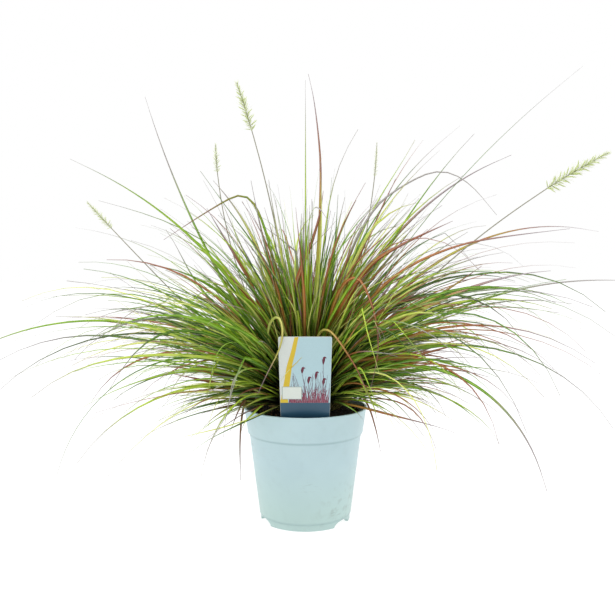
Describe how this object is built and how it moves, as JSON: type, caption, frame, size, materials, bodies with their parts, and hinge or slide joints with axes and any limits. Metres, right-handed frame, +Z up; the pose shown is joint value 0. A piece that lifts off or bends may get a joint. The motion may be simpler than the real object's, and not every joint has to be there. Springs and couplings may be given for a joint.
{
  "type": "potted fountain grass clump",
  "caption": "Clump of fountain grass with arching narrow leaves and bottlebrush flower spikes, growing in a round tapered nursery pot with a stick-in plant label.",
  "frame": {"origin": "centre of the pot's foot, on the surface that it stands on; the spread of the leaves is centred on it", "axes": "+Z up along the pot's axis, +X across the width to the right as seen from the label's side, -Y towards the label at the front"},
  "size_m": [0.8584, 0.7686, 0.6095],
  "materials": {
    "pot_plastic": "satin",
    "potting_soil": "matte",
    "label_card": "satin",
    "crown_sheath": "matte",
    "leaf_blade": "matte",
    "flower_spike": "matte"
  },
  "bodies": {
    "root": {"pot": "pot_plastic", "potting_soil": "potting_soil", "plant_label": "label_card", "crown": "crown_sheath", "leaf_tuft_skirt_01": "leaf_blade", "leaf_tuft_skirt_02": "leaf_blade", "leaf_tuft_skirt_03": "leaf_blade", "leaf_tuft_skirt_04": "leaf_blade", "leaf_tuft_skirt_05": "leaf_blade", "leaf_tuft_skirt_06": "leaf_blade", "leaf_tuft_skirt_07": "leaf_blade", "leaf_tuft_skirt_08": "leaf_blade", "leaf_tuft_skirt_09": "leaf_blade", "leaf_tuft_skirt_10": "leaf_blade", "leaf_tuft_skirt_11": "leaf_blade", "leaf_tuft_skirt_12": "leaf_blade", "leaf_tuft_low_01": "leaf_blade", "leaf_tuft_low_02": "leaf_blade", "leaf_tuft_low_03": "leaf_blade", "leaf_tuft_low_04": "leaf_blade", "leaf_tuft_low_05": "leaf_blade", "leaf_tuft_low_06": "leaf_blade", "leaf_tuft_low_07": "leaf_blade", "leaf_tuft_low_08": "leaf_blade", "leaf_tuft_low_09": "leaf_blade", "leaf_tuft_low_10": "leaf_blade", "leaf_tuft_low_11": "leaf_blade", "leaf_tuft_low_12": "leaf_blade", "leaf_tuft_high_01": "leaf_blade", "leaf_tuft_high_02": "leaf_blade", "leaf_tuft_high_03": "leaf_blade", "leaf_tuft_high_04": "leaf_blade", "leaf_tuft_high_05": "leaf_blade", "leaf_tuft_high_06": "leaf_blade", "leaf_tuft_high_07": "leaf_blade", "leaf_tuft_high_08": "leaf_blade", "leaf_tuft_heart_01": "leaf_blade", "leaf_tuft_heart_02": "leaf_blade", "leaf_tuft_heart_03": "leaf_blade", "leaf_tuft_heart_04": "leaf_blade", "long_leaf_01": "leaf_blade", "long_leaf_02": "leaf_blade", "long_leaf_03": "leaf_blade", "long_leaf_04": "leaf_blade", "long_leaf_05": "leaf_blade", "long_leaf_06": "leaf_blade", "long_leaf_07": "leaf_blade", "long_leaf_08": "leaf_blade", "long_leaf_09": "leaf_blade", "long_leaf_10": "leaf_blade", "long_leaf_11": "leaf_blade", "long_leaf_12": "leaf_blade", "long_leaf_13": "leaf_blade", "long_leaf_14": "leaf_blade", "flower_stem_1": "flower_spike", "flower_stem_2": "flower_spike", "flower_stem_3": "flower_spike", "flower_stem_4": "flower_spike", "flower_stem_5": "flower_spike"}
  },
  "joints": []
}
